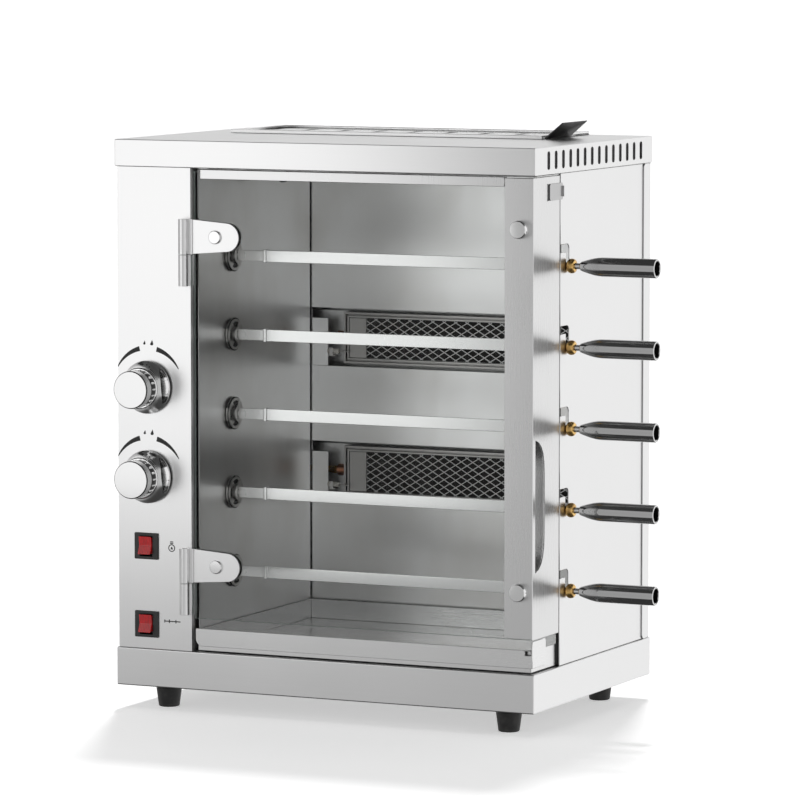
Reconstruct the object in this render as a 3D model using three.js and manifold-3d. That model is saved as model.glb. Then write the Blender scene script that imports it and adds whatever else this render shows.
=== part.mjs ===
// Table-top gas rotisserie oven: five geared spits in a stainless cabinet behind a hinged glass door.
//
// Millimetres, +Z up, +X to the right and +Y to the back. Places are given from the cabinet's front
// left bottom corner, at the underside of the base pan. The last lines move the whole oven so that its
// origin is the bottom centre of its bounding box.

import * as THREE from "three";
import { mergeVertices } from "three/addons/utils/BufferGeometryUtils.js";
import Module from "manifold-3d";

const wasm = await Module();
wasm.setup();

// ---------------------------------------------------------------- driving dimensions

const GAP = 0.3; // air between two pieces that rest on each other
const GRID = 0.001; // the smallest step between two places
const SHEET = 1.5; // thickness of the folded panels
const CABINET = { width: 620, depth: 396, height: 742 };
const BASE_TOP = 52;
const COVER_BOTTOM = 705.5;
const FACE = { left: 3, right: 617, front: 2, rear: 392 }; // outer faces of the panels
const PANEL = { low: BASE_TOP + GAP, high: COVER_BOTTOM - GAP };
const PANEL_EDGE = 114.3; // right-hand edge of the control panel
const RETURN_DEPTH = 88; // how far the door's folded side reaches back

const FOOT = { height: 32, topRadius: 18.5, bottomRadius: 14, insetX: 56, insetY: 46 };

const CAVITY = { left: 118, right: 615.2, front: 16, rear: 355, high: 703 };
const CEILING_MOUTH = { left: 160, right: 580, front: 270, rear: 350 };
const LAMP = { x: 154, y: 200, radius: 11, collar: 16, drop: 26, collarHeight: 12 };

const SPIT = { count: 5, first: 150, pitch: 108, y: 114, shaft: 4, barHeight: 16, barThick: 5 };
const SPIT_ENDS = { tip: 7, tipEnd: 141, root: 13, rootStart: 129.5, collar: 168, bar: 172, barEnd: 600 };
const SPIT_RING = 7;
const HANDLE = { start: 636, end: 745, radius: 12.8, bore: 9.5, boreDepth: 50 };
const BUSH = { neck: 4.7, radius: 9.8, bore: 4.5, start: 611, shoulder: 617.5, end: 628.5 };
const J_SLOT = { half: 5.3, rise: 24, corner: 8 };

const GEAR = { teeth: 24, module: 4.5, left: 88, right: 96, shaft: 6 };
const PINION_TEETH = 12;
const PINION_Y = SPIT.y + (GEAR.module * (GEAR.teeth + PINION_TEETH)) / 2;
const DRIVE_PLATE = { left: 104, right: 106 };
const CUP = { radius: 22.5, hub: 9, back: 120.5, face: 123, end: 129, socket: 4.3 };
const TOOTH = { above: 3.9, below: 5.2, tipHalf: 1.2, rootHalf: 3.9 }; // cut thin, for backlash
const MOTOR = { box: [54, 82], above: 32, behind: 52, half: 47, can: 27, canStart: 22, reach: 45 };

const KNOB = { x: 49.2, heights: { upper: 408.3, lower: 286.8 }, front: -50, back: -1.5, skirt: 36 };
const KNOB_CAP = { radius: 25.5, depth: 13.8, grip: 24.2, gripEnd: -26, collar: 28.6 };
const ROCKER = {
  x: 46,
  heights: { lamp: 192, motor: 85.5 },
  bezel: 18,
  body: 15,
  bodyDepth: 30,
  pocketHalfWide: 9.8,
  pocketHalfHigh: 14,
  pocketDepth: 17,
  pivot: 6,
  tilt: -7, // degrees
};

const DOOR = { left: 118.4, right: 613, glassFront: 3.5, glassBack: 8.5, low: 97, high: 701, stile: 576 };
const HINGE = { x: 107.15, y: -5, radius: 6.85, pin: 3, bore: 3.7, reach: 61 };
const HINGES = {
  upper: { low: 547, split: 589, high: 637 },
  lower: { low: 102.6, split: 145, high: 192.4 },
};
const PULL = { front: 10.5, rear: 41, low: 185, high: 360, depth: 14, wall: 1.2 };
const LATCH = { low: 671, high: 693 };

const TRAY = { left: 121, right: 612.5, front: 8, rear: 350, low: 53.5, high: 84, lipLow: 60 };
const TRAY_WING = { rear: 46, high: 96 };

const BURNER = { left: 172, right: 560, front: 352, back: 384, height: 72, border: 8, dish: 9 };
const BURNER_FLANGE = { left: 121.5, front: 378, back: 380 };
const BURNER_TUBE = { y: 368, radius: 8, start: 156, jetStart: 146, jet: 6 };
const GUARD_DIAMONDS = { count: 11, first: 222, pitch: 29, offset: 14, halfWide: 12.5, halfHigh: 11 };
const BURNER_MIDDLES = { upper: 453, lower: 265 };
const BURNER_WINDOW = { left: 121, right: 575, margin: 5 };

const VENT = { count: 14, first: 44.2, pitch: 23.9, half: 4.5, low: 712, high: 736 };
const FLUE = { left: 58, right: 528, front: 230, rear: 392, top: 747, rail: 12 };
const FLUE_HOLES = { count: 8, first: 76, pitch: 53.6, half: 6, front: 312, rear: 352 };
const DAMPER_TAB = { front: 236, rear: 318, run: 28, rise: 22 };

const LOUVRES = { perRow: 8, first: 170, pitch: 40, width: 8, height: 50, rows: [130, 560] };

const GAS_INLET = { height: 215, end: 412, pipe: 7, nut: 14, hole: 10 };
const GAS_VALVE = { half: 15, halfHigh: 14, front: 24, back: 70, outletY: 47 };
const GAS_PIPE = { x: 73, y: 372, radius: 4.5 };
const GAS_RAIL_Y = 86;
const MAINS_HEIGHT = 120;
const GLAND = { hole: 8, neck: 7.2, flange: 12, nose: 8, length: 14 };

// ---------------------------------------------------------------- materials

function finish(color, roughness, metalness) {
  return new THREE.MeshStandardMaterial({ color, roughness, metalness });
}

const steel = finish(0xd4d6d6, 0.32, 0.9);
const darkSteel = finish(0x8d9091, 0.4, 0.9);
const chrome = finish(0xe6e8ea, 0.12, 1);
const brass = finish(0xb8863b, 0.3, 1);
const blackRubber = finish(0x151515, 0.8, 0);
const blackPlastic = finish(0x1b1b1c, 0.5, 0);
const redLens = finish(0xb81420, 0.15, 0);
const ceramic = finish(0x9b978c, 0.9, 0);
const castMetal = finish(0x6f7274, 0.6, 0.7);
const clearGlass = new THREE.MeshStandardMaterial({
  color: 0xdfe6e4,
  roughness: 0.05,
  metalness: 0,
  transparent: true,
  opacity: 0.18,
});

// ---------------------------------------------------------------- solids

// A manifold solid from a closed geometry. Its points are put on a fine grid, so that faces that should
// lie in one plane do, and a geometry that is inside out is turned the right way.
function solid(geometry) {
  const bare = geometry.clone();
  bare.deleteAttribute("normal");
  bare.deleteAttribute("uv");
  bare.attributes.position.array.forEach((value, i, all) => (all[i] = Math.round(value / GRID) * GRID));
  const merged = mergeVertices(bare, GRID / 10);
  const points = merged.attributes.position.array;
  const corners = [];
  let volume = 0;
  for (let i = 0; i < merged.index.count; i += 3) {
    const [a, b, c] = [0, 1, 2].map((k) => merged.index.array[i + k]);
    if (a === b || b === c || c === a) continue;
    const [p, q, r] = [a, b, c].map((n) => new THREE.Vector3().fromArray(points, 3 * n));
    volume += p.dot(q.cross(r));
    corners.push(a, b, c);
  }
  const triangles = volume > 0 ? corners : corners.reverse();
  const vertProperties = Float32Array.from(points);
  const triVerts = Uint32Array.from(triangles);
  return new wasm.Manifold(new wasm.Mesh({ numProp: 3, vertProperties, triVerts }));
}

const join = (...pieces) => pieces.flat().reduce((whole, piece) => whole.add(piece));
const cut = (whole, ...tools) => tools.flat().reduce((rest, tool) => rest.subtract(tool), whole);
const range = (count) => [...Array(count).keys()];

// A rectangular block between two corners.
function block([x0, y0, z0], [x1, y1, z1]) {
  const box = new THREE.BoxGeometry(x1 - x0, y1 - y0, z1 - z0);
  return solid(box.translate((x0 + x1) / 2, (y0 + y1) / 2, (z0 + z1) / 2));
}

// How an outline, or a profile turned about its second axis, is stood along each axis.
const X_AXIS = new THREE.Vector3(1, 0, 0);
const Y_AXIS = new THREE.Vector3(0, 1, 0);
const Z_AXIS = new THREE.Vector3(0, 0, 1);
const OUTLINE_TURN = {
  x: new THREE.Matrix4().makeBasis(Y_AXIS, Z_AXIS, X_AXIS),
  y: new THREE.Matrix4().makeBasis(X_AXIS, Z_AXIS, Y_AXIS.clone().negate()),
  z: new THREE.Matrix4(),
};
const PROFILE_TURN = {
  x: new THREE.Matrix4().makeBasis(Z_AXIS, X_AXIS, Y_AXIS),
  y: new THREE.Matrix4(),
  z: new THREE.Matrix4().makeBasis(Y_AXIS, Z_AXIS, X_AXIS),
};

// An outline given in the two other axes, filled from one place to another along the named axis.
function plate(axis, outline, from, to, curveSegments = 5) {
  const body = new THREE.ExtrudeGeometry(outline, { depth: to - from, bevelEnabled: false, curveSegments });
  body.applyMatrix4(OUTLINE_TURN[axis]);
  const start = axis === "y" ? to : from;
  return solid(body.translate(axis === "x" ? start : 0, axis === "y" ? start : 0, axis === "z" ? start : 0));
}

// A profile of [radius, place along the axis] pairs, turned about an axis through a centre.
function turned(axis, profile, centre = [0, 0, 0], sides = 20) {
  const outline = profile.map(([radius, along]) => new THREE.Vector2(radius, along));
  const body = new THREE.LatheGeometry(outline, sides);
  body.applyMatrix4(PROFILE_TURN[axis]);
  return solid(body.translate(...centre));
}

// A plain round bar, and a round bore to cut with, between two places along an axis.
function rod(axis, radius, from, to, centre = [0, 0, 0], sides = 12) {
  return turned(axis, [[0, from], [radius, from], [radius, to], [0, to]], centre, sides);
}

// ---------------------------------------------------------------- outlines

function rectangle(left, low, right, high, corner = 0) {
  if (corner === 0) return polygon([[left, low], [right, low], [right, high], [left, high]]);
  const outline = new THREE.Shape();
  outline.absarc(right - corner, low + corner, corner, -Math.PI / 2, 0);
  outline.absarc(right - corner, high - corner, corner, 0, Math.PI / 2);
  outline.absarc(left + corner, high - corner, corner, Math.PI / 2, Math.PI);
  outline.absarc(left + corner, low + corner, corner, Math.PI, 1.5 * Math.PI);
  return outline;
}

function polygon(points) {
  return new THREE.Shape(points.map((p) => new THREE.Vector2(...p)));
}

// ---------------------------------------------------------------- the model

const oven = new THREE.Group();

function add(name, shape, material) {
  const { vertProperties, triVerts } = shape.getMesh();
  const geometry = new THREE.BufferGeometry();
  geometry.setAttribute("position", new THREE.BufferAttribute(vertProperties, 3));
  geometry.setIndex(new THREE.BufferAttribute(triVerts, 1));
  const mesh = new THREE.Mesh(geometry, material);
  mesh.name = name;
  oven.add(mesh);
}

const spitHeights = range(SPIT.count).map((k) => SPIT.first + k * SPIT.pitch);

// ---------------------------------------------------------------- base and feet

function basePan() {
  const rim = 14;
  const { width, depth } = CABINET;
  const inside = block([SHEET, SHEET, SHEET], [width - SHEET, depth - SHEET, BASE_TOP - SHEET]);
  const mouth = block([rim, rim, BASE_TOP - 2 * SHEET], [width - rim, depth - rim, BASE_TOP + 1]);
  return cut(block([0, 0, 0], [width, depth, BASE_TOP]), inside, mouth);
}
add("base_pan", basePan(), steel);

function foot(x, y) {
  const { height, topRadius, bottomRadius } = FOOT;
  const profile = [
    [0, -height],
    [bottomRadius - 2, -height],
    [bottomRadius, -height + 2],
    [topRadius - 1, -6],
    [topRadius, -5],
    [topRadius, -GAP],
    [0, -GAP],
  ];
  return turned("z", profile, [x, y, 0], 16);
}
for (const [side, x] of [["left", FOOT.insetX], ["right", CABINET.width - FOOT.insetX]]) {
  add(`foot_front_${side}`, foot(x, FOOT.insetY), blackRubber);
  add(`foot_rear_${side}`, foot(x, CABINET.depth - FOOT.insetY), blackRubber);
}

// ---------------------------------------------------------------- cabinet panels

function leftSidePanel() {
  const { left } = FACE;
  const fold = 15;
  const [front, rear] = [4, 390];
  const inner = left + SHEET;
  const section = [
    [left, front],
    [left + fold, front],
    [left + fold, front + SHEET],
    [inner, front + SHEET],
    [inner, rear - SHEET],
    [left + fold, rear - SHEET],
    [left + fold, rear],
    [left, rear],
  ];
  return plate("z", polygon(section), PANEL.low, PANEL.high);
}
add("left_side_panel", leftSidePanel(), steel);

function controlPanel() {
  const { left, front } = FACE;
  const returnDepth = 28;
  const cutout = ROCKER.body + 0.6;
  const face = block([left, front, PANEL.low], [PANEL_EDGE, front + SHEET, PANEL.high]);
  const fold = block([PANEL_EDGE - SHEET, front, PANEL.low], [PANEL_EDGE, front + returnDepth, PANEL.high]);
  const stemHole = 7;
  const stemHoles = Object.values(KNOB.heights).map((z) => rod("y", stemHole, 0, 6, [KNOB.x, 0, z]));
  const switchHoles = Object.values(ROCKER.heights).map((z) =>
    block([ROCKER.x - cutout, 0, z - cutout], [ROCKER.x + cutout, 6, z + cutout]),
  );
  return cut(join(face, fold), stemHoles, switchHoles);
}
add("control_panel", controlPanel(), steel);

// The slot that a spit's bush drops into: in from the front edge, back, and down to the seat.
function jSlot(seat) {
  const { half, rise, corner } = J_SLOT;
  const mouth = RETURN_DEPTH - 4;
  const outline = new THREE.Shape();
  outline.moveTo(mouth, seat + rise - half);
  outline.lineTo(SPIT.y - half, seat + rise - half);
  outline.lineTo(SPIT.y - half, seat);
  outline.absarc(SPIT.y, seat, half, Math.PI, 2 * Math.PI);
  outline.absarc(SPIT.y + half - corner, seat + rise + half - corner, corner, 0, Math.PI / 2);
  outline.lineTo(mouth, seat + rise + half);
  return plate("x", outline, FACE.right - SHEET - 1, FACE.right + 1);
}

function rightSidePanel() {
  const { right } = FACE;
  const fold = 15;
  const seam = 2; // open to the door's folded side
  const [front, rear] = [RETURN_DEPTH + seam, 390];
  const web = block([right - SHEET, front, PANEL.low], [right, rear, PANEL.high]);
  const rearFold = block([right - fold, rear - SHEET, PANEL.low], [right, rear, PANEL.high]);
  return cut(join(web, rearFold), spitHeights.map(jSlot));
}
add("right_side_panel", rightSidePanel(), steel);

function rearCover() {
  const wrap = 22;
  const [left, right] = [FACE.left - GAP - SHEET, FACE.right + GAP + SHEET];
  const back = block([left, FACE.rear - SHEET, PANEL.low], [right, FACE.rear, PANEL.high]);
  const flange = rectangle(FACE.rear - wrap, PANEL.low, FACE.rear, PANEL.high, 5);
  const sides = [left, right - SHEET].map((x) => plate("x", flange, x, x + SHEET, 2));
  const [before, beyond] = [FACE.rear - 3, FACE.rear + 1];
  const louvres = LOUVRES.rows.flatMap((z) =>
    range(LOUVRES.perRow).map((n) => {
      const x = LOUVRES.first + n * LOUVRES.pitch;
      return block([x, before, z], [x + LOUVRES.width, beyond, z + LOUVRES.height]);
    }),
  );
  const gasHole = rod("y", GAS_INLET.hole, before, beyond, [KNOB.x, 0, GAS_INLET.height]);
  const mainsHole = rod("y", GLAND.hole, before, beyond, [KNOB.x, 0, MAINS_HEIGHT]);
  return cut(join(back, sides), louvres, gasHole, mainsHole);
}
add("rear_cover", rearCover(), steel);

function flueHole(k, half, low, high) {
  const x = FLUE_HOLES.first + k * FLUE_HOLES.pitch;
  return plate("z", rectangle(x - half, FLUE_HOLES.front, x + half, FLUE_HOLES.rear, half - 2), low, high, 1);
}

function topCover() {
  const { width, depth, height } = CABINET;
  const shell = block([0, 0, COVER_BOTTOM], [width, depth, height]);
  const inside = block([SHEET, SHEET, COVER_BOTTOM - 1], [width - SHEET, depth - SHEET, height - SHEET]);
  const slots = range(VENT.count).flatMap((k) => {
    const y = VENT.first + k * VENT.pitch;
    const outline = rectangle(y - VENT.half, VENT.low, y + VENT.half, VENT.high, VENT.half - 1.5);
    return [plate("x", outline, -1, 3, 1), plate("x", outline, width - 3, width + 1, 1)];
  });
  const holes = range(FLUE_HOLES.count).map((k) => flueHole(k, FLUE_HOLES.half + 1, height - 3, height + 1));
  return cut(shell, inside, slots, holes);
}
add("top_cover", topCover(), steel);

// ---------------------------------------------------------------- cooking space

function leftInnerWall() {
  const { left, front, rear, high } = CAVITY;
  const wall = block([left, front, PANEL.low], [left + SHEET, rear - 3, high]);
  const shaftHole = 8.5;
  const holes = spitHeights.map((z) => rod("x", shaftHole, left - 1, left + 3, [0, SPIT.y, z]));
  return cut(wall, holes);
}
add("left_inner_wall", leftInnerWall(), darkSteel);

function rearInnerWall() {
  const { left, right, rear, high } = CAVITY;
  const half = BURNER.height / 2 + BURNER_WINDOW.margin;
  const wall = block([left + SHEET + GAP, rear, PANEL.low], [right, rear + SHEET, high]);
  const windows = Object.values(BURNER_MIDDLES).map((z) =>
    block([BURNER_WINDOW.left, rear - 1, z - half], [BURNER_WINDOW.right, rear + 3, z + half]),
  );
  return cut(wall, windows);
}
add("rear_inner_wall", rearInnerWall(), darkSteel);

function cavityCeiling() {
  const { left, right, front, rear, high } = CAVITY;
  const mouth = CEILING_MOUTH;
  const whole = block([left, front, high + GAP], [right, rear, high + GAP + SHEET]);
  return cut(whole, block([mouth.left, mouth.front, high], [mouth.right, mouth.rear, high + 3]));
}
add("cavity_ceiling", cavityCeiling(), darkSteel);

function ovenLamp() {
  const { x, y, radius, collar, drop, collarHeight } = LAMP;
  const top = CAVITY.high;
  const profile = [
    [0, top - drop],
    [radius - 4, top - drop + 1.5],
    [radius, top - drop + 6],
    [radius, top - collarHeight],
    [collar, top - collarHeight + 1],
    [collar, top],
    [0, top],
  ];
  return turned("z", profile, [x, y, 0], 16);
}
add("oven_lamp", ovenLamp(), clearGlass);

// ---------------------------------------------------------------- infrared burners

// A folded box with a dished front, its side flange, and the mixing tube that the gas jet blows into.
function burner(middle) {
  const { left, right, front, back, height, border, dish } = BURNER;
  const { y, radius, start, jetStart, jet } = BURNER_TUBE;
  const half = height / 2;
  const inner = half - border;
  const box = block([left, front, middle - half], [right, back, middle + half]);
  const hollow = block(
    [left + border, front - 1, middle - inner],
    [right - border, front + dish, middle + inner],
  );
  const tube = rod("x", radius, start, left + 1, [0, y, middle], 12);
  const flange = block(
    [BURNER_FLANGE.left, BURNER_FLANGE.front, middle - half],
    [left + 1, BURNER_FLANGE.back, middle + half],
  );
  const jetProfile = [[0, jetStart], [4.5, jetStart], [jet, start], [jet, start + 6], [0, start + 6]];
  return join(cut(box, hollow), tube, flange, turned("x", jetProfile, [0, y, middle], 12));
}

// The pressed grille in the dish, with one row of diamond openings above the other.
function burnerGuard(middle) {
  const { left, right, front, height, border } = BURNER;
  const { count, first, pitch, offset, halfWide, halfHigh } = GUARD_DIAMONDS;
  const inset = border + GAP;
  const half = height / 2 - inset;
  const grille = block([left + inset, front + 1, middle - half], [right - inset, front + 3, middle + half]);
  const openings = [middle - offset, middle + offset].flatMap((z) =>
    range(count).map((n) => {
      const x = first + n * pitch;
      const diamond = polygon([[x - halfWide, z], [x, z - halfHigh], [x + halfWide, z], [x, z + halfHigh]]);
      return plate("y", diamond, front, front + 4);
    }),
  );
  return cut(grille, openings);
}

for (const [place, middle] of Object.entries(BURNER_MIDDLES)) {
  add(`burner_${place}`, burner(middle), ceramic);
  add(`burner_guard_${place}`, burnerGuard(middle), darkSteel);
}

// ---------------------------------------------------------------- gas valves and pipes

// A valve body behind the panel, with the pipe from its side outlet to its burner's jet.
function gasValve(place) {
  const z = KNOB.heights[place];
  const middle = BURNER_MIDDLES[place];
  const { half, halfHigh, front, back, outletY } = GAS_VALVE;
  const { x, y, radius } = GAS_PIPE;
  const [spigot, bore, boreEnd] = [9, 4.8, 42];
  const pipeEnd = BURNER_TUBE.jetStart - GAP;
  const body = block([KNOB.x - half, front, z - halfHigh], [KNOB.x + half, back, z + halfHigh]);
  const neck = rod("y", spigot, 5, front + 1, [KNOB.x, 0, z]);
  const stemBore = rod("y", bore, 4, boreEnd, [KNOB.x, 0, z]);
  const outlet = rod("x", radius, KNOB.x + half - 5, x + radius, [0, outletY, z], 8);
  const run = rod("y", radius, outletY - radius, y + radius, [x, 0, z], 8);
  const riser = rod("z", radius, Math.min(z, middle) - radius, Math.max(z, middle) + radius, [x, y, 0], 8);
  const feed = rod("x", radius, x - radius, pipeEnd, [0, BURNER_TUBE.y, middle], 8);
  return cut(join(body, neck, outlet, run, riser, feed), stemBore);
}

function gasManifold() {
  const { upper, lower } = KNOB.heights;
  const { height, end, pipe, nut } = GAS_INLET;
  const [nutStart, nutEnd] = [FACE.rear + 2, FACE.rear + 12];
  const rail = rod("z", pipe, height - pipe, upper + 8, [KNOB.x, GAS_RAIL_Y, 0], 12);
  const stubStart = GAS_VALVE.back + GAP;
  const stubs = [upper, lower].map((z) => rod("y", pipe - 1, stubStart, GAS_RAIL_Y, [KNOB.x, 0, z], 12));
  const inlet = rod("y", pipe, GAS_RAIL_Y, end, [KNOB.x, 0, height], 12);
  const inletNut = rod("y", nut, nutStart, nutEnd, [KNOB.x, 0, height], 6);
  return join(rail, stubs, inlet, inletNut);
}

function mainsGland() {
  const { neck, flange, nose, length } = GLAND;
  const { rear } = FACE;
  const profile = [
    [0, rear - length],
    [neck, rear - length],
    [neck, rear + GAP],
    [flange, rear + GAP],
    [flange, rear + 8],
    [nose, rear + length],
    [0, rear + length],
  ];
  return turned("y", profile, [KNOB.x, 0, MAINS_HEIGHT], 12);
}

add("mains_gland", mainsGland(), blackPlastic);
add("gas_valve_upper", gasValve("upper"), brass);
add("gas_valve_lower", gasValve("lower"), brass);
add("gas_manifold", gasManifold(), brass);

// ---------------------------------------------------------------- gear drive

function drivePlate() {
  const { left, right } = DRIVE_PLATE;
  const [front, rear, low, step] = [80, 262, 96, 205];
  const strip = front + 68; // rear edge of the narrow part above the motor
  const top = spitHeights.at(-1) + 34;
  const outline = [[front, low], [rear, low], [rear, step], [strip, step], [strip, top], [front, top]];
  const holes = spitHeights.map((z) => rod("x", GEAR.shaft + 0.8, left - 1, right + 1, [0, SPIT.y, z]));
  const pinionHole = rod("x", 6, left - 1, right + 1, [0, PINION_Y, SPIT.first]);
  const edge = 8;
  const posts = [
    [front + edge, low + edge],
    [rear - edge, low + edge],
    [rear - edge, step - edge],
    [front + edge, top - edge],
    [strip - edge, top - edge],
  ].map(([y, z]) => rod("x", 4, right - 1, CAVITY.left - GAP, [0, y, z], 6));
  return join(cut(plate("x", polygon(outline), left, right), holes, pinionHole), posts);
}
add("drive_plate", drivePlate(), darkSteel);

function gearMotor() {
  const { box, above, behind, half, can, canStart, reach } = MOTOR;
  const z = SPIT.first;
  const corner = 10;
  const outline = rectangle(PINION_Y - above, z - half, PINION_Y + behind, z + half, corner);
  const gearbox = plate("x", outline, ...box, 2);
  const winding = rod("x", can, canStart, box[0] + 1, [0, PINION_Y + corner, z], 20);
  const feet = [[0, -reach], [0, reach], [reach, 0]].map(([dy, dz]) =>
    rod("x", 4, box[1] - 1, DRIVE_PLATE.left - GAP, [0, PINION_Y + dy, z + dz], 6),
  );
  return join(gearbox, winding, feet);
}
add("gear_motor", gearMotor(), castMetal);

// A straight-flanked gear in the Y-Z plane.
function gearWheel(teeth, y, z, phase) {
  const pitchRadius = (GEAR.module * teeth) / 2;
  const [tip, root] = [pitchRadius + TOOTH.above, pitchRadius - TOOTH.below];
  const [outer, inner] = [TOOTH.tipHalf / tip, TOOTH.rootHalf / root];
  const corners = range(teeth).flatMap((n) => {
    const middle = phase + (2 * Math.PI * n) / teeth;
    return [[root, -inner], [tip, -outer], [tip, outer], [root, inner]].map(([radius, turn]) => [
      y + radius * Math.cos(middle + turn),
      z + radius * Math.sin(middle + turn),
    ]);
  });
  return plate("x", polygon(corners), GEAR.left, GEAR.right);
}

// A gear on its shaft, with the socketed cup that turns a spit on the cooking side of the wall.
function driveGear(k) {
  const z = spitHeights[k];
  const halfTooth = Math.PI / GEAR.teeth;
  const { radius, hub, back, face, end, socket } = CUP;
  const wheel = gearWheel(GEAR.teeth, SPIT.y, z, k % 2 === 0 ? 0 : halfTooth);
  const shaft = rod("x", GEAR.shaft, MOTOR.box[1], back + 0.5, [0, SPIT.y, z], 12);
  const profile = [[0, back], [radius, back], [radius, face], [hub, face], [hub, end], [0, end]];
  const cup = turned("x", profile, [0, SPIT.y, z], 16);
  const hole = block([face - 0.5, SPIT.y - socket, z - socket], [end + 1, SPIT.y + socket, z + socket]);
  return cut(join(wheel, shaft, cup), hole);
}
for (const k of range(SPIT.count)) add(`drive_gear_${k + 1}`, driveGear(k), darkSteel);

function motorPinion() {
  const z = SPIT.first;
  const gapAtGear = Math.PI / PINION_TEETH;
  const shaft = rod("x", 5, MOTOR.box[1] + GAP, DRIVE_PLATE.right + 2, [0, PINION_Y, z], 12);
  return join(gearWheel(PINION_TEETH, PINION_Y, z, Math.PI + gapAtGear), shaft);
}
add("motor_pinion", motorPinion(), darkSteel);

// ---------------------------------------------------------------- spits and their bushes

function spit(z) {
  const { y, shaft, barHeight, barThick } = SPIT;
  const { tip, tipEnd, root, rootStart, collar, bar, barEnd } = SPIT_ENDS;
  const { start, end, radius, bore, boreDepth } = HANDLE;
  const flat = (from, to, high, thick) =>
    block([from, y - thick / 2, z - high / 2], [to, y + thick / 2, z + high / 2]);
  const profile = [
    [0, barEnd - 12],
    [SPIT_RING, barEnd - 12],
    [SPIT_RING, barEnd - 2],
    [shaft, barEnd + 1],
    [shaft, start],
    [6.5, start + 1],
    [9.5, start + 9],
    [radius, start + 28],
    [radius, end - 1],
    [radius - 1, end],
    [bore, end],
    [bore, end - boreDepth],
    [0, end - boreDepth],
  ];
  return join(
    flat(CUP.face, tipEnd, tip, tip),
    flat(rootStart, bar, root, barThick),
    flat(collar, bar + 1, barHeight + 2, barThick + 4),
    flat(bar, barEnd, barHeight, barThick),
    turned("x", profile, [0, y, z], 12),
  );
}

function spitBush(z) {
  const { neck, radius, bore, start, shoulder, end } = BUSH;
  const profile = [
    [bore, start],
    [neck, start],
    [neck, shoulder],
    [radius, shoulder],
    [radius, shoulder + 3],
    [radius - 1.8, shoulder + 7],
    [bore, end],
    [bore, start],
  ];
  return turned("x", profile, [0, SPIT.y, z], 12);
}

spitHeights.forEach((z, k) => {
  add(`spit_${k + 1}`, spit(z), chrome);
  add(`spit_bush_${k + 1}`, spitBush(z), brass);
});

// ---------------------------------------------------------------- knobs and switches

// A flat cap, a narrower grip ring, and a collar that flares out to the skirt.
function knob(z) {
  const { x, front, back, skirt } = KNOB;
  const { radius, depth, grip, gripEnd, collar } = KNOB_CAP;
  const stemBore = 4.6;
  const profile = [
    [0, -30],
    [stemBore, -30],
    [stemBore, back],
    [skirt - 1.5, back],
    [skirt, back - 1.5],
    [skirt, back - 3],
    [31, -12],
    [collar, -17],
    [collar, gripEnd + 1],
    [collar - 1.5, gripEnd],
    [grip, gripEnd],
    [grip, front + depth],
    [radius, front + depth],
    [radius, front + 1.5],
    [radius - 1.5, front],
    [0, front],
  ];
  return turned("y", profile, [x, 0, z], 20);
}

for (const [place, z] of Object.entries(KNOB.heights)) {
  add(`valve_stem_${place}`, rod("y", 4, -28, 34, [KNOB.x, 0, z], 14), darkSteel);
  add(`knob_${place}`, knob(z), chrome);
}

function rockerHousing(z) {
  const { x, bezel, body, bodyDepth, pocketHalfWide, pocketHalfHigh, pocketDepth } = ROCKER;
  const frame = block([x - bezel, -0.8, z - bezel], [x + bezel, FACE.front - GAP, z + bezel]);
  const box = block([x - body, 0, z - body], [x + body, bodyDepth, z + body]);
  const pocket = block(
    [x - pocketHalfWide, -2, z - pocketHalfHigh],
    [x + pocketHalfWide, pocketDepth, z + pocketHalfHigh],
  );
  return cut(join(frame, box), pocket);
}

// The rocker rests switched off, so it is built turned about its pivot.
function rocker(z) {
  const { x, pivot, tilt, pocketHalfWide } = ROCKER;
  const half = pocketHalfWide - 0.4;
  const lean = (tilt * Math.PI) / 180;
  const section = [[-12.5, -12.2], [-9, 0], [-12.5, 12.2], [-2, 9], [3, 3], [3, -3], [-2, -9]];
  const outline = section.map(([y, up]) => [
    pivot + y * Math.cos(lean) - up * Math.sin(lean),
    z + y * Math.sin(lean) + up * Math.cos(lean),
  ]);
  return plate("x", polygon(outline), x - half, x + half);
}

for (const [job, z] of Object.entries(ROCKER.heights)) {
  add(`switch_housing_${job}`, rockerHousing(z), blackPlastic);
  add(`rocker_${job}`, rocker(z), redLens);
}

// ---------------------------------------------------------------- door

function doorGlass() {
  const { left, right, glassFront, glassBack, low, high } = DOOR;
  return block([left, glassFront, low], [right, glassBack, high]);
}
add("door_glass", doorGlass(), clearGlass);

// A D-shaped opening with its straight side to the front, grown outwards by a margin.
function pullOutline(margin) {
  const { front, rear, low, high } = PULL;
  const [left, right] = [front - margin, rear + margin];
  const [bottom, top] = [low - margin, high + margin];
  const outline = new THREE.Shape();
  outline.moveTo(left, bottom);
  outline.quadraticCurveTo(right, bottom + 6, right, bottom + 46);
  outline.lineTo(right, top - 46);
  outline.quadraticCurveTo(right, top - 6, left, top);
  return outline;
}

function doorStile() {
  const { right } = FACE;
  const [front, low, high] = [1.7, 99, 703];
  const face = block([DOOR.stile, front, low], [right, front + SHEET, high]);
  const side = block([right - SHEET, front, low - 2], [right, RETURN_DEPTH, high]);
  const opening = plate("x", pullOutline(0), right - 3, right + 1);
  const latchSlot = block([right - 3, 45, LATCH.low], [right + 1, 50, LATCH.high]);
  return cut(join(face, side), opening, latchSlot);
}
add("door_stile", doorStile(), steel);

function doorPullCup() {
  const { depth, wall } = PULL;
  const mouth = FACE.right - SHEET - GAP;
  const outer = plate("x", pullOutline(0.9), mouth - depth, mouth);
  const hollow = plate("x", pullOutline(0.9 - wall), mouth - depth + wall, mouth + 1);
  return cut(outer, hollow);
}
add("door_pull_cup", doorPullCup(), steel);

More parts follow.
